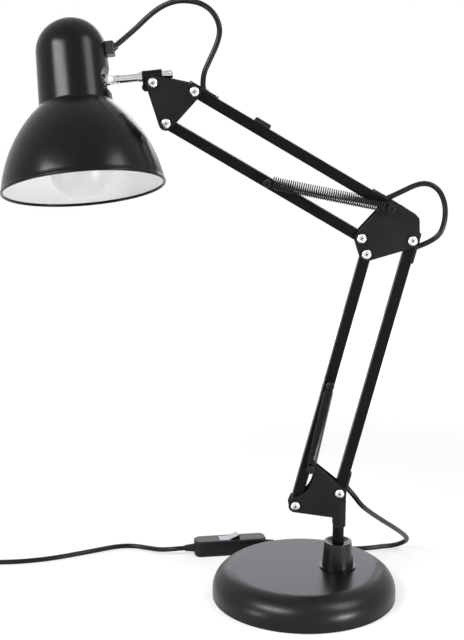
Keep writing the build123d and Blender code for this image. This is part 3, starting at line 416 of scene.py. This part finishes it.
def coil_route():
    """Turns that spiral in, climb a layer at the reversal and spiral out on top."""
    points = []
    total = COIL_TURNS_IN + COIL_TURNS_OUT
    inner = COIL_OUTER - COIL_LAYER * COIL_TURNS_IN
    for step in range(int(total * COIL_STEPS) + 1):
        turns = step / COIL_STEPS
        radius = inner + COIL_LAYER * abs(turns - COIL_TURNS_IN)
        climbed = min(max((turns - COIL_TURNS_IN) / COIL_CLIMB + 0.5, 0), 1)
        ease = climbed * climbed * (3 - 2 * climbed)
        turn = math.pi / 2 + 2 * math.pi * turns
        outward = Vector((math.cos(turn), math.sin(turn), 0))
        points.append(COIL_CENTRE + outward * radius + Vector((0, 0, COIL_HEIGHT + COIL_LAYER * ease)))
    points.append(points[-1] - Vector((0, COIL_TAIL / 2, 0)))
    points.append(points[-1] - Vector((0, COIL_TAIL / 2, 0)))
    return points


def route_spline(name, route):
    """A smooth curve whose control points are a cord's route."""
    curve = bpy.data.curves.new(name, "CURVE")
    curve.dimensions = "3D"
    curve.resolution_u = SPLINE_STEPS
    spline = curve.splines.new("NURBS")
    spline.points.add(len(route) - 1)
    for point, place in zip(spline.points, route):
        point.co = (*place, 1)
    spline.order_u = 3
    spline.use_endpoint_u = True
    return curve


def spline_line(route):
    """Points along the smooth curve of a route."""
    curve = route_spline("route", route)
    holder = bpy.data.objects.new("route", curve)
    mesh = bpy.data.meshes.new_from_object(holder)
    line = [vertex.co.copy() for vertex in mesh.vertices]
    bpy.data.objects.remove(holder)
    bpy.data.curves.remove(curve)
    bpy.data.meshes.remove(mesh)
    return line


def line_length(line):
    """Length of a line of points."""
    return sum((after - before).length for before, after in zip(line, line[1:]))


def split_line(line, shares):
    """Cut a line of points at shares of its length."""
    whole = line_length(line)
    reached = [line_length(line[:index + 1]) / whole for index in range(len(line))]
    marks = [min(range(len(line)), key=lambda index: abs(reached[index] - share)) for share in shares]
    marks = [0, *marks, len(line) - 1]
    return [line[first:last + 1] for first, last in zip(marks, marks[1:])]


def cord_tube(name, line):
    """A length of cord along a line."""
    return add_mesh(name, tube_mesh(name, line, CORD_DIAMETER / 2, CORD_SIDES), CORD_SHEATH)


def chain_cord(name, route, node, zones):
    """A cord over several joints, as a row of tubes.

    A zone is the share of the cord where it ends, the one body it rides on or the two it lies
    between, and the shares of its chord where a bend would start and stop, which are not used.
    """
    lines = split_line(spline_line(route), [zone[0] for zone in zones[:-1]])
    for number, (line, zone) in enumerate(zip(lines, zones), 1):
        piece = cord_tube(name + "_" + str(number), line)
        bodies, bend = zone[1:]
        if len(bodies) == 1:
            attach(piece, *bodies)
        else:
            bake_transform(piece)
        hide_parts(node)


def lying_cord(name, route, nodes):
    """A cord that lies on the table with the base."""
    line = spline_line(route)
    piece = cord_tube(name, line)
    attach(piece, "base")
    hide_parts(*nodes)


chain_cord(
    "head_lead",
    HEAD_ROUTE,
    "head_cord",
    [
        (0.19, ("head", "stem"), (0, 0.9)),
        (0.42, ("stem", "stem_clamp"), (0, 1)),
        (0.62, ("stem_clamp", "head_bracket"), (0, 2)),
        (0.82, ("stem_clamp", "head_bracket"), (-1, 1)),
        (1, ("head_bracket", "upper_top_arm"), (0.3, 0.95)),
    ],
)
chain_cord(
    "elbow_lead",
    ELBOW_ROUTE,
    "elbow_cord",
    [
        (0.37, ("upper_top_arm", "elbow"), (0.05, 0.95)),
        (0.64, ("elbow",), ()),
        (1, ("elbow", "lower_rear_arm"), (0, 1)),
    ],
)
chain_cord(
    "rise_lead",
    RISE_ROUTE,
    "mains_cord_rise",
    [
        (0.17, ("lower_rear_arm", "swivel_bracket"), (0.05, 0.95)),
        (0.8, ("swivel_bracket", "base"), (0, 1)),
        (1, ("base",), ()),
    ],
)
lying_cord(
    "rear_lead",
    REAR_ROUTE,
    ["mains_cord_rear"],
)
lying_cord(
    "front_lead",
    FRONT_ROUTE + coil_route(),
    ["mains_cord_front", "mains_cord_coil"],
)

# Springs with close curls of round wire
SPRING_WIRE = 1.1 * MM
SPRING_RADIUS = 4.15 * MM
SPRING_PITCH = 2.05 * MM
SPRING_LEAD = 6.0 * MM
HOOK_RADIUS = 3.0 * MM
HOOK_CLEAR = 2.0 * MM
HOOK_TURN = math.radians(210)
CURL_ENTRY = math.radians(45)
CURL_STEPS = 14
HOOK_STEPS = 12
WIRE_SIDES = 7


def spring_line(start, end):
    """Hook, helix and hook between two bolts that lie along Y."""
    run = end - start
    heading = run.normalized()
    rise = heading.cross(Vector((0, 1, 0))).normalized()
    across = Vector((0, 1, 0))
    span = run.length
    curls = round((span - 2 * SPRING_LEAD) / SPRING_PITCH)
    line = []
    for step in range(HOOK_STEPS + 1):
        turn = HOOK_TURN * (step / HOOK_STEPS - 1)
        line.append(start + (heading * math.sin(turn) + rise * math.cos(turn)) * HOOK_RADIUS)
    winding = 2 * math.pi * curls - 2 * CURL_ENTRY
    steps = curls * CURL_STEPS
    for step in range(steps + 1):
        turn = CURL_ENTRY + winding * step / steps
        place = SPRING_LEAD + (span - 2 * SPRING_LEAD) * step / steps
        around = across * math.sin(turn) + rise * math.cos(turn)
        line.append(start + heading * place + around * SPRING_RADIUS)
    for step in range(HOOK_STEPS + 1):
        turn = HOOK_TURN * step / HOOK_STEPS
        line.append(end + (heading * math.sin(turn) + rise * math.cos(turn)) * HOOK_RADIUS)
    return line


def ramp(start, end, start_weight, end_weight):
    """Where a smooth blend begins and stops, if it has these weights at two points."""
    weights = (start_weight, end_weight)
    first, last = (0.5 - math.sin(math.asin(1 - 2 * weight) / 3) for weight in weights)
    whole = (end - start) / (last - first)
    return start - whole * first, start + whole * (1 - first)


def make_spring(node, start_node, end_node, bends):
    """A spring on its bolts in three pieces: a hook with its lead, and the curls in two lengths.

    A bend is the place along the spring where two of them meet, and its share of the arm's turn.
    From the shares a span of bending is worked out for each piece, but it is not used.
    """
    side = Vector((0, middle(node).y, 0))
    flat = Vector((1, 0, 1))
    start = middle(start_node) * flat + side
    end = middle(end_node) * flat + side
    span = (end - start).length
    heading = (end - start).normalized()
    line = spring_line(start, end)
    foot = HOOK_STEPS + 1
    curl_points = len(line) - 2 * foot - 1
    (first, first_share), (second, second_share) = bends
    turn = foot + round(curl_points * (second - SPRING_LEAD) / (span - 2 * SPRING_LEAD))
    lead = (line[foot] - line[foot - 1]).normalized()
    hook_end = line[foot - 1] + lead * HOOK_CLEAR
    first_place = start + heading * first
    second_place = start + heading * second
    far_hook = end - heading * HOOK_CLEAR
    lengths = [
        (line[:foot + 1], ramp(hook_end, line[foot], 0, first_share)),
        (line[foot:turn + 1], ramp(first_place, second_place, first_share, second_share)),
        (line[turn:], ramp(second_place, far_hook, second_share, 1)),
    ]
    for number, (part, (bend_start, bend_end)) in enumerate(lengths, 1):
        name = node + "_wound_" + str(number)
        piece = add_mesh(name, tube_mesh(name, part, SPRING_WIRE / 2, WIRE_SIDES), BLACK_STEEL)
        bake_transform(piece)
        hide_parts(node)


LOWER_BENDS = ((SPRING_LEAD, 0.378), (21.2 * MM, 0.653))
UPPER_BENDS = ((SPRING_LEAD, 0.1), (42.5 * MM, 0.87))
for node in ("lower_front_spring", "lower_back_spring"):
    make_spring(node, "bracket_spring_studs", "lower_spring_bolt", LOWER_BENDS)
for node in ("upper_front_spring", "upper_back_spring"):
    make_spring(node, "elbow_spring_bolt", "upper_spring_bolt", UPPER_BENDS)

# Shade: a spun shell, black outside and white inside, with a pressed dimple and a rolled rim
SHADE_SEGMENTS = 240
SHEET = 1.0 * MM
NECK_RADIUS = 32.3 * MM
NECK_FOOT_RADIUS = 33.5 * MM
NECK_FOOT = 19.5 * MM
DOME_BASE = 30.0 * MM
DOME_RISE = 31.6 * MM
RIM_RADIUS = 73.8 * MM
RIM_DROP = 95.0 * MM
FLARE_SHARES = (0.635, 0.424)
RIM_BEAD = 1.3 * MM
YOKE_REACH = 33.63 * MM
DIMPLE_FLOOR = 27.03 * MM
DIMPLE_BEND = 15.0 * MM
CROWN_EYE = 0.05 * MM
DOME_STEPS = 28
NECK_STEPS = 56
SKIRT_STEPS = 48
BEAD_START = math.radians(35)
BEAD_STEP = math.radians(25)
BEAD_POINTS = 11

stem_heading = Vector(joints["stem_roll"]["axis"]).normalized()
tilt_heading = Vector(joints["shade_tilt"]["axis"]).normalized()
shade_up = stem_heading.cross(tilt_heading)
shade_centre = pivot("shade_tilt") - stem_heading * YOKE_REACH
head_turn = Matrix((stem_heading, tilt_heading, shade_up)).transposed().to_4x4()
head_place = Matrix.Translation(shade_centre) @ head_turn


def arc_points(start, crown, end, steps):
    """Points on the circle through three points, from start to end."""
    a, b, c = Vector(start), Vector(crown), Vector(end)
    near = b - a
    far = c - a
    twice = 2 * (near.x * far.y - near.y * far.x)
    x = a.x + (far.y * near.length_squared - near.y * far.length_squared) / twice
    y = a.y + (near.x * far.length_squared - far.x * near.length_squared) / twice
    centre = Vector((x, y))
    first = math.atan2(a.y - y, a.x - x)
    sweep = math.atan2(c.y - y, c.x - x) - first
    radius = (a - centre).length
    turns = [first + sweep * step / steps for step in range(steps + 1)]
    return [(x + radius * math.cos(angle), y + radius * math.sin(angle)) for angle in turns]


def shade_profile(inset):
    """Half section of the shade from its crown to its rim, drawn in by an inset."""
    neck = NECK_RADIUS - inset
    waist = NECK_FOOT_RADIUS - inset
    rim = RIM_RADIUS - inset
    crown = DOME_BASE + DOME_RISE - inset
    out_share, down_share = FLARE_SHARES
    flare = (waist + (rim - waist) * out_share, -NECK_FOOT - (RIM_DROP - NECK_FOOT) * down_share)
    half = math.sqrt(0.5)
    dome_crown = (neck * half, DOME_BASE + (crown - DOME_BASE) * half)
    dome = arc_points((CROWN_EYE, crown), dome_crown, (neck, DOME_BASE), DOME_STEPS)
    fall = DOME_BASE + NECK_FOOT
    shares = [step / NECK_STEPS for step in range(1, NECK_STEPS)]
    sides = [(neck + (waist - neck) * share, DOME_BASE - fall * share) for share in shares]
    skirt = arc_points((waist, -NECK_FOOT), flare, (rim, -RIM_DROP), SKIRT_STEPS)
    return dome + sides + skirt


def rim_profile():
    """The rolled bead that joins the outer skin to the inner one."""
    across = RIM_RADIUS - SHEET / 2
    height = -RIM_DROP - RIM_BEAD
    turns = [BEAD_START - BEAD_STEP * step for step in range(BEAD_POINTS)]
    return [(across + RIM_BEAD * math.cos(turn), height + RIM_BEAD * math.sin(turn)) for turn in turns]


def press_dimple(mesh, bend):
    """Push the skin in where the round bar that presses the dimple meets it."""
    centre = DIMPLE_FLOOR + DIMPLE_BEND
    to_head = head_place.inverted()
    for vertex in mesh.vertices:
        local = to_head @ vertex.co
        if local.x > 0 and abs(local.z) < bend:
            limit = centre - math.sqrt(bend ** 2 - local.z ** 2)
            vertex.co = head_place @ Vector((min(local.x, limit), local.y, local.z))


def make_shade():
    """Outer skin with its rolled rim, and the white inner skin."""
    outline = shade_profile(0)[:-1] + rim_profile()
    outside = lathe_mesh("shade_outside", outline, SHADE_SEGMENTS, head_place)
    press_dimple(outside, DIMPLE_BEND)
    inside = lathe_mesh("shade_inside", shade_profile(SHEET), SHADE_SEGMENTS, head_place)
    press_dimple(inside, DIMPLE_BEND + SHEET)
    outer = add_mesh("shade_outside", outside, PAINT)
    inner = add_mesh("shade_inside", inside, SHADE_WHITE)
    for piece in (outer, inner):
        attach(piece, "head")
        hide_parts("shade")


make_shade()

# Pan-head screws with a cross recess
HEAD_RADIUS = 4.5 * MM
HEAD_HEIGHT = 2.4 * MM
SCREW_RADIUS = 2.0 * MM
RECESS_REACH = 2.3 * MM
RECESS_WIDTH = 0.85 * MM
RECESS_DEPTH = 1.6 * MM
RECESS_TURN = math.radians(22)
RECESS_FOOT_SHARE = 0.5
RECESS_MOUTH_SHARE = 1.15
CROWN_STEPS = 10
CROWN_SHARE = 0.8
CROWN_POWER = 0.75
SCREW_EYE = 0.02 * MM
SCREW_SEGMENTS = 40
SCREW_SHARP = math.radians(32)


def screw_profile(length):
    """Half section of a pan-head screw whose head's crown is at height 0."""
    dome = [(SCREW_EYE, 0.0)]
    for step in range(1, CROWN_STEPS + 1):
        turn = math.pi / 2 * step / CROWN_STEPS
        drop = HEAD_HEIGHT * CROWN_SHARE * (1 - math.cos(turn))
        dome.append((HEAD_RADIUS * math.sin(turn) ** CROWN_POWER, -drop))
    return dome + [
        (HEAD_RADIUS, -HEAD_HEIGHT),
        (SCREW_RADIUS, -HEAD_HEIGHT),
        (SCREW_RADIUS, -length),
        (SCREW_EYE, -length),
    ]


def recess_mesh(place):
    """A tapered cross that cuts a screw's recess."""
    cutter = bmesh.new()
    for turn in (0, math.pi / 2):
        shape = bmesh.ops.create_cube(cutter, size=1)
        for vertex in shape["verts"]:
            foot = vertex.co.z < 0
            reach = RECESS_REACH * (RECESS_FOOT_SHARE if foot else RECESS_MOUTH_SHARE)
            height = -RECESS_DEPTH if foot else RECESS_DEPTH
            vertex.co = Vector((vertex.co.x * 2 * reach, vertex.co.y * RECESS_WIDTH, height))
            vertex.co.rotate(Matrix.Rotation(turn + RECESS_TURN, 3, "Z"))
    cutter.transform(place)
    mesh = bpy.data.meshes.new("recess")
    cutter.to_mesh(mesh)
    cutter.free()
    return mesh


def screw_mesh(name, crown, length):
    """One screw along +Y from its crown, with the recess cut out."""
    place = Matrix.Translation(crown) @ Matrix.Rotation(math.pi / 2, 4, "X")
    blank = bpy.data.objects.new(name, lathe_mesh(name, screw_profile(length), SCREW_SEGMENTS, place))
    tool = bpy.data.objects.new("recess", recess_mesh(place))
    for item in (blank, tool):
        bpy.context.scene.collection.objects.link(item)
    cut = blank.modifiers.new("recess", "BOOLEAN")
    cut.operation = "DIFFERENCE"
    cut.solver = "EXACT"
    cut.use_self = True
    cut.object = tool
    shaped = blank.evaluated_get(bpy.context.evaluated_depsgraph_get())
    mesh = bpy.data.meshes.new_from_object(shaped)
    bpy.data.objects.remove(blank)
    bpy.data.objects.remove(tool)
    return mesh


def screw_set(node, body, places):
    """All screws of one bracket as one piece."""
    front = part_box(node)[0].y
    joined = bmesh.new()
    for place, length in places:
        joined.from_mesh(screw_mesh(node, Vector((place.x, front, place.z)), length))
    mesh = bpy.data.meshes.new(node + "_cut")
    joined.to_mesh(mesh)
    joined.free()
    mesh.set_sharp_from_angle(angle=SCREW_SHARP)
    piece = add_mesh(node + "_cut", mesh, SCREW_STEEL)
    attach(piece, body)
    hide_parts(node)


def screw_length(node):
    """Length of the screws in a node, head included."""
    low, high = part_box(node)
    return high.y - low.y


short_screw = screw_length("elbow_screws")
front_head = pivot("lower_front_swing") + pivot("elbow_level") - pivot("lower_arm_swing")
bottom_head = pivot("upper_bottom_swing") + pivot("head_level") - pivot("upper_arm_swing")
screw_set(
    "bracket_screws",
    "swivel_bracket",
    [(pivot("lower_arm_swing"), short_screw), (pivot("lower_front_swing"), short_screw)],
)
screw_set(
    "elbow_screws",
    "elbow",
    [
        (pivot("elbow_level"), short_screw),
        (pivot("upper_bottom_swing"), short_screw),
        (front_head, short_screw),
    ],
)
screw_set(
    "head_screws",
    "head_bracket",
    [
        (pivot("head_level"), short_screw),
        (bottom_head, short_screw),
        (pivot("head_pitch"), screw_length("head_screws")),
    ],
)

# On and off marks, printed on the rocker's two faces
MARK_RUN = 6.0 * MM
MARK_DROP = 60.0 * MM
MARK_SHEET = 0.04 * MM
BAR_LENGTH = 3.2 * MM
BAR_WIDTH = 0.6 * MM
RING_RADIUS = 1.5 * MM
RING_STROKE = 0.5 * MM
RING_SEGMENTS = 32


def rocker_face(run):
    """Frame on the rocker's top at a run from its axle: X along the switch, Z out of the face."""
    skin = frame["nodes"]["switch_rocker"].data
    tree = BVHTree.FromPolygons(
        [vertex.co for vertex in skin.vertices],
        [tuple(face.vertices) for face in skin.polygons],
    )
    across = Vector(joints["rocker_press"]["axis"]).normalized()
    onward = across.cross(Vector((0, 0, 1)))
    above = pivot("rocker_press") + onward * run + Vector((0, 0, MARK_DROP))
    place, normal = tree.ray_cast(above, Vector((0, 0, -1)))[:2]
    side = normal.cross(onward).normalized()
    turn = Matrix((side.cross(normal), side, normal)).transposed().to_4x4()
    return Matrix.Translation(place) @ turn


def bar_mesh(place):
    """A short bar across the rocker."""
    corners = [(-1, -1), (1, -1), (1, 1), (-1, 1)]
    half = Vector((BAR_WIDTH / 2, BAR_LENGTH / 2, MARK_SHEET))
    points = [place @ (Vector((x, y, 1)) * half) for x, y in corners]
    return mesh_from("mark_on", points, [(0, 1, 2, 3)])


def ring_mesh(place):
    """A small ring."""
    profile = [(RING_RADIUS, MARK_SHEET), (RING_RADIUS - RING_STROKE, MARK_SHEET)]
    return lathe_mesh("mark_off", profile, RING_SEGMENTS, place)


for mark in (bar_mesh(rocker_face(MARK_RUN)), ring_mesh(rocker_face(-MARK_RUN))):
    piece = add_mesh(mark.name, mark, WHITE_MARK)
    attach(piece, "rocker")

# Floor, lights and world
FLOOR_RADIUS = 1.3
FLOOR_NEAR = 0.45
FLOOR_FAR = 1.1
FLOOR_GREY = 0.5
FLOOR_LIFT = 0.5
FLOOR_ROUGH = 0.9
FLOOR_EYE = 0.001
FLOOR_SEGMENTS = 96
ROOM_DIM = 0.07
ROOM_DEPTH = 0.75
SOFTBOX_AIM = (-0.12, 0, 0.35)
SHADE_AIM = (-0.22, 0, 0.44)
BASE_AIM = (0, 0, 0.1)
LAVENDER = (0.93, 0.89, 1.0)


def backdrop_rays(tree):
    """One for the rays that show the background: to the camera, off metal and through glass."""
    path = tree.nodes.new("ShaderNodeLightPath")
    rays = path.outputs["Is Camera Ray"]
    for kind in ("Is Glossy Ray", "Is Transmission Ray"):
        either = tree.nodes.new("ShaderNodeMath")
        either.operation = "MAXIMUM"
        tree.links.new(rays, either.inputs[0])
        tree.links.new(path.outputs[kind], either.inputs[1])
        rays = either.outputs[0]
    return rays


def make_floor():
    """Pale round floor that keeps the object's shadow and fades to white at its edge."""
    profile = [(FLOOR_EYE, 0.0), (FLOOR_RADIUS, 0.0)]
    mesh = lathe_mesh("floor", profile, FLOOR_SEGMENTS, Matrix.Identity(4))
    material, tree, shader = node_tree("pale_floor")
    shader.inputs["Base Color"].default_value = (*grey(FLOOR_GREY), 1)
    shader.inputs["Roughness"].default_value = FLOOR_ROUGH
    shader.inputs["Specular IOR Level"].default_value = 0.0
    coordinates = tree.nodes.new("ShaderNodeTexCoord")
    distance = tree.nodes.new("ShaderNodeVectorMath")
    distance.operation = "LENGTH"
    tree.links.new(coordinates.outputs["Object"], distance.inputs[0])
    fade = tree.nodes.new("ShaderNodeMapRange")
    fade.interpolation_type = "SMOOTHSTEP"
    fade.inputs["From Min"].default_value = FLOOR_NEAR
    fade.inputs["From Max"].default_value = FLOOR_FAR
    fade.inputs["To Min"].default_value = FLOOR_LIFT
    fade.inputs["To Max"].default_value = 1.0
    tree.links.new(distance.outputs["Value"], fade.inputs["Value"])
    seen = tree.nodes.new("ShaderNodeMath")
    seen.operation = "MULTIPLY"
    tree.links.new(fade.outputs["Result"], seen.inputs[0])
    tree.links.new(backdrop_rays(tree), seen.inputs[1])
    glow = tree.nodes.new("ShaderNodeEmission")
    glow.inputs["Color"].default_value = (*WHITE, 1)
    tree.links.new(seen.outputs[0], glow.inputs["Strength"])
    both = tree.nodes.new("ShaderNodeAddShader")
    tree.links.new(shader.outputs["BSDF"], both.inputs[0])
    tree.links.new(glow.outputs["Emission"], both.inputs[1])
    tree.links.new(both.outputs["Shader"], tree.nodes["Material Output"].inputs["Surface"])
    add_mesh("floor", mesh, material)


def soft_light(name, place, target, size, power, colour=WHITE):
    """A rectangular softbox that faces a target."""
    lamp = bpy.data.lights.new(name, "AREA")
    lamp.shape = "RECTANGLE"
    lamp.size, lamp.size_y = size
    lamp.energy = power
    lamp.color = colour
    light = bpy.data.objects.new(name, lamp)
    bpy.context.scene.collection.objects.link(light)
    light.location = place
    light.visible_camera = False
    light.rotation_euler = (Vector(target) - Vector(place)).to_track_quat("-Z", "Y").to_euler()


def make_world():
    """White surroundings, whose light on matt surfaces comes from behind the lamp."""
    world = bpy.data.worlds.new("studio")
    bpy.context.scene.world = world
    world.use_nodes = True
    tree = world.node_tree
    coordinates = tree.nodes.new("ShaderNodeTexCoord")
    heading = tree.nodes.new("ShaderNodeSeparateXYZ")
    tree.links.new(coordinates.outputs["Generated"], heading.inputs["Vector"])
    depth = tree.nodes.new("ShaderNodeMapRange")
    depth.interpolation_type = "SMOOTHSTEP"
    depth.inputs["From Min"].default_value = 0.0
    depth.inputs["From Max"].default_value = ROOM_DEPTH
    depth.inputs["To Min"].default_value = ROOM_DIM
    depth.inputs["To Max"].default_value = 1.0
    tree.links.new(heading.outputs["Y"], depth.inputs["Value"])
    strength = tree.nodes.new("ShaderNodeMath")
    strength.operation = "MAXIMUM"
    tree.links.new(depth.outputs["Result"], strength.inputs[0])
    tree.links.new(backdrop_rays(tree), strength.inputs[1])
    background = tree.nodes["Background"]
    background.inputs["Color"].default_value = (*WHITE, 1)
    tree.links.new(strength.outputs[0], background.inputs["Strength"])


make_floor()
make_world()
soft_light("key_left", place=(-1.03, -0.95, 1.24), target=SOFTBOX_AIM, size=(1.0, 0.34), power=28)
soft_light("fill_right", place=(0.95, -0.47, 1.3), target=SOFTBOX_AIM, size=(0.55, 0.7), power=11.5)
soft_light("low_right", place=(0.6, -0.6, 0.1), target=SHADE_AIM, size=(0.22, 0.15), power=5)
soft_light("low_left", place=(-0.85, -0.5, 0.1), target=SHADE_AIM, size=(0.22, 0.15), power=2)
soft_light("back", place=(0, 2.4, 1.05), target=BASE_AIM, size=(2.2, 0.8), power=13, colour=LAVENDER)
bpy.context.scene.view_settings.view_transform = "Standard"
